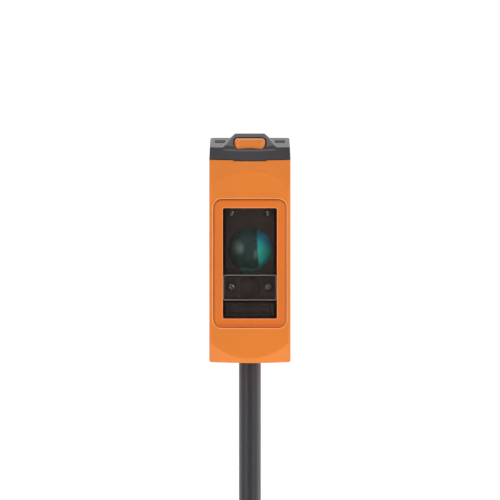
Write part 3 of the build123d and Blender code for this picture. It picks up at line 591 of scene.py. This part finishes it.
def nurbs_curve(name, route, radius):
    """An open NURBS line through space with a round section; the route is in millimetres."""
    line = bpy.data.curves.new(name, "CURVE")
    line.dimensions = "3D"
    spline = line.splines.new("NURBS")
    spline.points.add(len(route) - 1)
    for point, place in zip(spline.points, route):
        point.co = (*(MM * part for part in place), 1.0)
    spline.order_u = 3
    spline.use_endpoint_u = True
    spline.resolution_u = CURVE_STEPS
    line.bevel_depth = radius
    line.bevel_resolution = CURVE_STEPS
    line.use_fill_caps = True
    piece = bpy.data.objects.new(name, line)
    bpy.context.scene.collection.objects.link(piece)
    return piece


class SENSOR_OT_cable(bpy.types.Operator):
    """Wind the cable from the grommet into its tied hank, and finish its stripped end"""
    bl_idname = "sensor.cable"
    bl_label = "Cable"

    def execute(self, context):
        cable = context.scene.sensor_cable
        pitch = cable.diameter / MM
        outer = layer(cable.outer_radius / MM, cable.turns, HANK_FRONT, pitch)
        back = HANK_FRONT + pitch * cable.turns
        inner = layer(cable.inner_radius / MM, cable.turns, back, -pitch)
        route = [*LEAD_ROUTE, *outer, *inner, *TAIL_ROUTE]
        cord = nurbs_curve("cable", route, cable.diameter / 2)
        jacket = moulded("cable_jacket", cable.jacket, 0.45, 1800.0, 0.08, sheen=0.45)
        cord.data.materials.append(jacket)
        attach(cord, "sensor")
        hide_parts("cable_lead", "cable_tail", "cable_hank")
        for name, tone in CORE_TONES.items():
            paint(moulded("core_" + name, tone, 0.4), "inner_core_" + name, "free_core_" + name)
        paint(metal("ferrule_tin", (0.78, 0.78, 0.76)), "core_ferrules")
        paint(moulded("tie_black", (0.02, 0.02, 0.02), 0.5), "hank_ties")
        return {"FINISHED"}


# Stage, in metres
FACE_Y = -0.0245
FLOOR_DROP, FLOOR_HALF = 0.004, 40.0
PAPER_ROUGHNESS, PAPER_SPECULAR = 0.9, 0.1
LAMP_AIM = (0, -0.02, 0)
CAMERA_X, CAMERA_AIM_Z = 0.000020, 0.00114
FILM_WIDTH = 36.0
CLIP_NEAR, CLIP_FAR = 0.01, 100.0
# Place, width and height, and power in watts of each soft box and strip
LAMPS = {
    "left_box": ((-0.60, -0.75, -0.02), (0.30, 0.50), 1.3),
    "right_box": ((0.60, -0.75, -0.02), (0.30, 0.50), 1.3),
    "left_strip": ((-0.42, -0.55, 0.16), (0.04, 0.40), 0.60),
    "right_strip": ((0.42, -0.55, 0.14), (0.04, 0.40), 0.25),
    "side_box": ((0.70, 0.05, -0.06), (0.30, 0.50), 1.2),
    "top_box": ((-0.10, 0.15, 0.70), (0.4, 0.4), 0.6),
}
# A warm card that only reflections in the windows see
CARD = ((0.0, -1.2, -0.10), (0.60, 0.22), 0.105)
CARD_TONE = (1.0, 0.80, 0.72)
# Directions between which the light from behind and from below rises to its full strength
BEHIND_RISE = (-0.5, 0.8)
BELOW_RISE = (-0.35, -0.95)


def face_towards(holder, place, aim):
    """Put a lamp or camera in the scene, turned to look at a point."""
    holder.location = place
    holder.rotation_euler = (Vector(aim) - Vector(place)).to_track_quat("-Z", "Y").to_euler()
    bpy.context.scene.collection.objects.link(holder)


def area_light(name, place, size, power):
    """A rectangular soft light aimed at the sensor."""
    lamp = bpy.data.lights.new(name, "AREA")
    lamp.shape = "RECTANGLE"
    lamp.size, lamp.size_y = size
    lamp.energy = power
    holder = bpy.data.objects.new(name, lamp)
    face_towards(holder, place, LAMP_AIM)
    return holder


def studio_sky(scene, stage):
    """A tent of white light: brightest overhead, bright behind, dim in front."""
    world = bpy.data.worlds.new("studio")
    world.use_nodes = True
    tree = world.node_tree
    sky = tree.nodes["Background"]
    sky.inputs["Color"].default_value = (1.0, 1.0, 1.0, 1.0)
    way = tree.nodes.new("ShaderNodeTexCoord")
    parts = tree.nodes.new("ShaderNodeSeparateXYZ")
    tree.links.new(way.outputs["Generated"], parts.inputs["Vector"])
    up = calc(tree, "MULTIPLY", calc(tree, "MAXIMUM", parts.outputs["Z"], 0.0), stage.overhead)
    back = calc(tree, "MULTIPLY", smooth(tree, parts.outputs["Y"], *BEHIND_RISE), stage.behind)
    below = calc(tree, "MULTIPLY", smooth(tree, parts.outputs["Z"], *BELOW_RISE), stage.below)
    power = calc(tree, "ADD", calc(tree, "ADD", up, back), stage.front_light)
    power = calc(tree, "ADD", power, below)
    tree.links.new(power, sky.inputs["Strength"])
    scene.world = world


class SENSOR_OT_stage(bpy.types.Operator):
    """Lay the pale floor, hang the soft lights and set the camera"""
    bl_idname = "sensor.stage"
    bl_label = "Stage"

    def execute(self, context):
        scene = context.scene
        stage = scene.sensor_stage
        floor_z = CAD_BOX[0].z - FLOOR_DROP
        mesh = bpy.data.meshes.new("floor")
        shape = bmesh.new()
        bmesh.ops.create_grid(shape, x_segments=1, y_segments=1, size=FLOOR_HALF,
                              matrix=Matrix.Translation((0, 0, floor_z)))
        shape.to_mesh(mesh)
        shape.free()
        floor = bpy.data.objects.new("floor", mesh)
        scene.collection.objects.link(floor)
        paper, _, shader = new_material("floor_paper")
        shader.inputs["Base Color"].default_value = (*stage.floor, 1.0)
        shader.inputs["Roughness"].default_value = PAPER_ROUGHNESS
        shader.inputs["Specular IOR Level"].default_value = PAPER_SPECULAR
        shader.inputs["Emission Color"].default_value = (1.0, 1.0, 1.0, 1.0)
        shader.inputs["Emission Strength"].default_value = stage.floor_glow
        mesh.materials.append(paper)
        # Rays inside a pane would see the bright floor and veil what is behind the windows
        floor.visible_glossy = False
        floor.visible_transmission = False

        studio_sky(scene, stage)
        for name, (place, size, power) in LAMPS.items():
            area_light(name, place, size, power)
        card = area_light("front_card", *CARD)
        card.data.color = CARD_TONE
        card.visible_diffuse = False
        card.visible_camera = False

        lens = bpy.data.cameras.new("camera")
        lens.sensor_width = FILM_WIDTH
        lens.lens = lens.sensor_width / 2 / math.tan(stage.field / 2)
        lens.clip_start, lens.clip_end = CLIP_NEAR, CLIP_FAR
        camera = bpy.data.objects.new("camera", lens)
        face_towards(camera, (CAMERA_X, FACE_Y - stage.distance, stage.height),
                     (CAMERA_X, FACE_Y, CAMERA_AIM_Z))
        scene.camera = camera
        scene.view_settings.view_transform = "Standard"
        return {"FINISHED"}


STEPS = (SENSOR_OT_shell, SENSOR_OT_optics, SENSOR_OT_electronics, SENSOR_OT_press,
         SENSOR_OT_cable, SENSOR_OT_stage)


class SENSOR_PT_panel(bpy.types.Panel):
    """Lists the sensor's steps and settings"""
    bl_label = "Photoelectric Sensor"
    bl_idname = "SENSOR_PT_panel"
    bl_space_type = "VIEW_3D"
    bl_region_type = "UI"
    bl_category = "Sensor"

    def draw(self, context):
        for group in GROUPS:
            settings = getattr(context.scene, group)
            for name in GROUPS[group].__annotations__:
                self.layout.prop(settings, name)
        for step in STEPS:
            self.layout.operator(step.bl_idname)


GROUPS = {"sensor_plastics": SENSOR_PG_plastics, "sensor_optics": SENSOR_PG_optics,
          "sensor_cable": SENSOR_PG_cable, "sensor_stage": SENSOR_PG_stage}
CLASSES = (*GROUPS.values(), *STEPS, SENSOR_PT_panel)


def register():
    """Add the classes and the sensor's settings to Blender."""
    for cls in CLASSES:
        bpy.utils.register_class(cls)
    for name, group in GROUPS.items():
        setattr(bpy.types.Scene, name, PointerProperty(type=group))


def unregister():
    """Take the settings and the classes out again."""
    for name in GROUPS:
        delattr(bpy.types.Scene, name)
    for cls in reversed(CLASSES):
        bpy.utils.unregister_class(cls)


def main():
    """Dress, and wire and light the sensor."""
    register()
    for step in STEPS:
        group, name = step.bl_idname.split(".")
        getattr(getattr(bpy.ops, group), name)()


if __name__ == "__main__":
    main()
